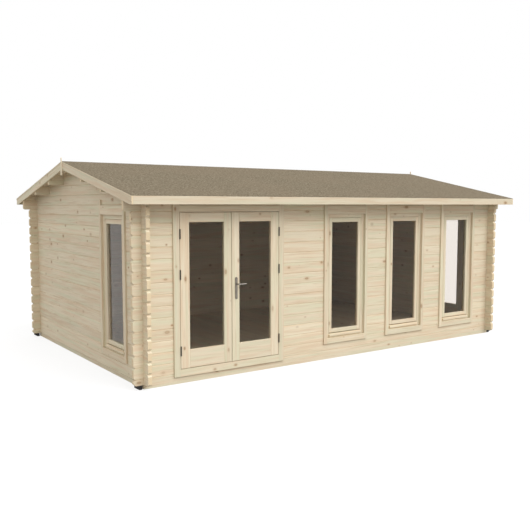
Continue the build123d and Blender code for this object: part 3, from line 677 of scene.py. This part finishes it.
def window_sash(work):
    half = SASH_HALF - SASH_GAP
    inner = SASH_HALF - SASH_STILE
    bottom = SASH_HEIGHTS[0] + SASH_LIFT
    top = SASH_HEIGHTS[1] - SASH_GAP
    for side in (-1, 1):
        stile = sorted((side * inner, side * half))
        work.block(*stile, JAMB_FACE, SASH_BACK, bottom, top, ALONG_Z, FACE_EDGE)
    for low, high in ((bottom, PANE_HEIGHTS[0]), (PANE_HEIGHTS[1], top)):
        work.block(-inner, inner, JAMB_FACE, SASH_BACK, low, high, ALONG_X, FACE_EDGE)


def windows():
    frames = Woodwork()
    sashes = Woodwork()
    for place in window_places():
        frames.place = place
        sashes.place = place
        window_frame(frames)
        window_sash(sashes)
    frames.finish("window_frame_boards", "cabin", "joinery_wood", "window_frames")
    sashes.finish("window_sash_boards", "cabin", "joinery_wood", "window_sashes")


def rows(half_length):
    """Edges of boards laid side by side along X."""
    count = round(2 * half_length / BOARD_PITCH)
    pitch = 2 * half_length / count
    return [(-half_length + i * pitch, -half_length + (i + 1) * pitch) for i in range(count)]


def deck(name, side):
    """Boards that run from the ridge to the eaves under the felt."""
    work = Woodwork()
    reach = side * (ROOF_Y - BOARD)
    fall = (ROOF_Y - BOARD) * math.tan(SLOPE)
    under = RIDGE_TOP - BOARD / math.cos(SLOPE)
    outline = [(0, under), (reach, under - fall), (reach, RIDGE_TOP - fall), (0, RIDGE_TOP)]
    for left, right in rows(ROOF_X - BOARD):
        work.prism(outline, 0, left, right, (0, side * math.cos(SLOPE), -math.sin(SLOPE)), DECK_EDGE)
    work.finish(name + "_deck_boards", "cabin", "roof_wood", name + "_roof_boards")


def floor_boards():
    work = Woodwork()
    low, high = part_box("floor")
    for left, right in rows(high[0]):
        work.block(left, right, low[1], high[1], low[2], high[2], ALONG_Y)
    work.finish("floor_boards", "cabin", "floor_wood", "floor")


def eaves_trim():
    work = Woodwork()
    for side in (-1, 1):
        outer = side * ROOF_Y
        inner = outer - side * BOARD
        outline = [(outer, EAVES_BOTTOM), (outer, EAVES_TOP), (inner, EAVES_TOP + BOARD * math.tan(SLOPE)),
                   (inner, EAVES_BOTTOM)]
        work.prism(outline, 0, -ROOF_X + BOARD, ROOF_X - BOARD, ALONG_X)
    work.finish("eaves_trim", "cabin", "trim_wood", "eaves_boards", look=EAVES)


FINIAL_HALF = 0.022
FINIAL_THICKNESS = 0.010
FINIAL_OUTLINE = [(FINIAL_HALF, 2.337), (FINIAL_HALF, 2.478), (0.009, 2.512), (0.009, 2.548)]
FINIAL_TOP = 2.562


def gable_trim():
    """Barge boards with their cover strips, and the finials over the ridge joint."""
    boards = Woodwork()
    finials = Woodwork()
    slope = math.tan(SLOPE)
    low_end = (RIDGE_TOP - BARGE_HEIGHT - EAVES_BOTTOM) / slope
    for out in (-1, 1):
        face = out * ROOF_X
        for side in (-1, 1):
            along = (0, side * math.cos(SLOPE), -math.sin(SLOPE))
            board = [(0, RIDGE_TOP), (ROOF_Y, EAVES_TOP), (ROOF_Y, EAVES_BOTTOM), (low_end, EAVES_BOTTOM),
                     (0, RIDGE_TOP - BARGE_HEIGHT)]
            top = RIDGE_TOP - FINIAL_HALF * slope
            strip = [(FINIAL_HALF, top), (ROOF_Y, EAVES_TOP), (ROOF_Y, EAVES_TOP - STRIP_HEIGHT),
                     (FINIAL_HALF, top - STRIP_HEIGHT)]
            for outline, depth in ((board, -BOARD), (strip, STRIP_PROUD)):
                mirrored = [(side * y, z) for y, z in outline]
                boards.prism(mirrored, 0, *sorted((face, face + out * depth)), along)
        outline = FINIAL_OUTLINE + [(0, FINIAL_TOP)] + [(-y, z) for y, z in FINIAL_OUTLINE[::-1]]
        finials.prism(outline, 0, *sorted((face, face + out * FINIAL_THICKNESS)), ALONG_Z)
    boards.finish("barge_trim", "cabin", "trim_wood", "front_barge_boards", "back_barge_boards")
    finials.finish("finial_posts", "cabin", "trim_wood", "finials")


# Handle plates
HANDLE_X = -1.722
PLATE_THICKNESS = 0.008
PLATE_FACE = {"out": -WALL_Y - CASING_PROUD - PLATE_THICKNESS, "in": -WALL_Y + LEAF_BACK + PLATE_THICKNESS}
SCREW_LEVELS = (0.902, 1.130)
SCREW_RADIUS = 0.0042
SCREW_TOP_RADIUS = 0.0030
SCREW_RISE = 0.0012
SCREW_RIM = 0.0014
SCREW_RECESS = 0.0008
SCREW_SIDES = 20
KEY_LEVEL = 0.971
CYLINDER_PROUD = 0.003
KEY_SLOT = (0.0016, 0.0008, 0.008)


def screw(shape, x, y, z, out):
    """A countersunk head with a round recess, just proud of the plate."""
    turn = Matrix.Translation((x, y, z)) @ Matrix.Rotation(-out * math.pi / 2, 4, "X")
    head = bmesh.ops.create_cone(shape, cap_ends=True, segments=SCREW_SIDES, radius1=SCREW_RADIUS,
                                 radius2=SCREW_TOP_RADIUS, depth=SCREW_RISE,
                                 matrix=turn @ Matrix.Translation((0, 0, SCREW_RISE / 2)))
    top = max((face for vertex in head["verts"] for face in vertex.link_faces),
              key=lambda face: out * face.calc_center_median().y)
    bmesh.ops.inset_region(shape, faces=[top], thickness=SCREW_RIM, depth=0.0)
    bmesh.ops.translate(shape, verts=top.verts[:], vec=(0, -out * SCREW_RECESS, 0))


def plate_fittings():
    """Screws at both ends of the handle plates and the slot in each lock cylinder."""
    shape = bmesh.new()
    for side, out in (("out", -1), ("in", 1)):
        face = PLATE_FACE[side]
        for level in SCREW_LEVELS:
            screw(shape, HANDLE_X, face, level, out)
        cylinder = Matrix.Translation((HANDLE_X, face + out * CYLINDER_PROUD, KEY_LEVEL))
        bmesh.ops.create_cube(shape, size=1.0, matrix=cylinder @ Matrix.Diagonal((*KEY_SLOT, 1.0)))
    mesh = bpy.data.meshes.new("plate_fittings")
    shape.to_mesh(mesh)
    shape.free()
    mesh.materials.append(HINGE)
    made = new_object("plate_fittings", mesh)
    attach(made, "right_leaf")


door_frame()
door_leaf("left", -1)
door_leaf("right", 1)
windows()
deck("front", -1)
deck("back", 1)
floor_boards()
eaves_trim()
gable_trim()
plate_fittings()


# Light, ground and camera
FLOOR_BOUNCE = 0.31         # how much light the ground throws back on the cabin
FLOOR_TINT = (1.0, 0.98, 0.95)
FLOOR_VEIL = 0.22           # how much of the shadow the camera sees on the white ground
FLOOR_GLOW = 0.80
FLOOR_REACH = 60.0
FLOOR_DROP = 0.001          # keeps the ground clear of the beams' undersides
SKY = 0.94
SUN = 1.84
SUN_ANGLE = math.radians(48.0)
SUN_FROM = (0.25, -0.63, 0.74)
CAMERA_PLACE = (-5.897, -8.455, 1.9675)
CAMERA_TILT = math.radians(84.975)
CAMERA_TURN = math.radians(-34.8155)
CAMERA_LENS = 46.19
CAMERA_SENSOR = 36.0
CAMERA_REACH = 200.0


def seen_by_eye(g):
    """1 for what the camera sees, also in a reflection or through glass, but not after a diffuse bounce."""
    ray = g.node("ShaderNodeLightPath").outputs
    direct = g.math("LESS_THAN", ray["Diffuse Depth"], 0.5)
    seen = g.math("MAXIMUM", g.math("MAXIMUM", ray["Is Camera Ray"], ray["Is Glossy Ray"]),
                  ray["Is Transmission Ray"])
    return g.math("MULTIPLY", seen, direct)


def floor_material():
    """White to the camera, with the sun's shadow kept on it."""
    made = bpy.data.materials.new("studio_floor")
    made.use_nodes = True
    made.node_tree.nodes.clear()
    g = Graph(made.node_tree)
    lit = g.node("ShaderNodeBsdfDiffuse")
    lit.inputs["Color"].default_value = tuple(FLOOR_BOUNCE * share for share in FLOOR_TINT) + (1.0,)
    veil = g.node("ShaderNodeBsdfDiffuse")
    veil.inputs["Color"].default_value = (FLOOR_VEIL, FLOOR_VEIL, FLOOR_VEIL, 1.0)
    glow = g.node("ShaderNodeEmission")
    glow.inputs["Strength"].default_value = FLOOR_GLOW
    both = g.node("ShaderNodeAddShader")
    g.tree.links.new(veil.outputs[0], both.inputs[0])
    g.tree.links.new(glow.outputs[0], both.inputs[1])
    choose = g.node("ShaderNodeMixShader")
    g.feed(choose.inputs[0], seen_by_eye(g))
    g.tree.links.new(lit.outputs[0], choose.inputs[1])
    g.tree.links.new(both.outputs[0], choose.inputs[2])
    out = g.node("ShaderNodeOutputMaterial")
    g.tree.links.new(choose.outputs[0], out.inputs["Surface"])
    return made


def studio():
    mesh = bpy.data.meshes.new("studio_floor")
    corners = [(x * FLOOR_REACH, y * FLOOR_REACH, 0) for x, y in ((-1, -1), (1, -1), (1, 1), (-1, 1))]
    mesh.from_pydata(corners, [], [(0, 1, 2, 3)])
    mesh.materials.append(floor_material())
    floor = new_object("studio_floor", mesh)
    floor.location.z = -FLOOR_DROP

    world = bpy.data.worlds.new("studio_world")
    bpy.context.scene.world = world
    world.use_nodes = True
    world.node_tree.nodes.clear()
    g = Graph(world.node_tree)
    sky = g.node("ShaderNodeBackground")
    sky.inputs["Color"].default_value = (1.0, 1.0, 1.0, 1.0)
    g.feed(sky.inputs["Strength"], g.math("MULTIPLY_ADD", seen_by_eye(g), 1.0 - SKY, SKY))
    g.tree.links.new(sky.outputs[0], g.node("ShaderNodeOutputWorld").inputs["Surface"])

    sun = bpy.data.lights.new("soft_sun", "SUN")
    sun.energy = SUN
    sun.angle = SUN_ANGLE
    lamp = new_object("soft_sun", sun)
    lamp.rotation_euler = Vector(SUN_FROM).to_track_quat("Z", "Y").to_euler()


def camera():
    """The place, turn and lens worked out from the photograph's straight edges."""
    lens = bpy.data.cameras.new("photo_camera")
    lens.lens = CAMERA_LENS
    lens.sensor_width = CAMERA_SENSOR
    lens.clip_end = CAMERA_REACH
    eye = new_object("photo_camera", lens)
    eye.location = CAMERA_PLACE
    eye.rotation_euler = (CAMERA_TILT, 0.0, CAMERA_TURN)
    bpy.context.scene.camera = eye


studio()
camera()
bpy.context.scene.view_settings.view_transform = "Standard"
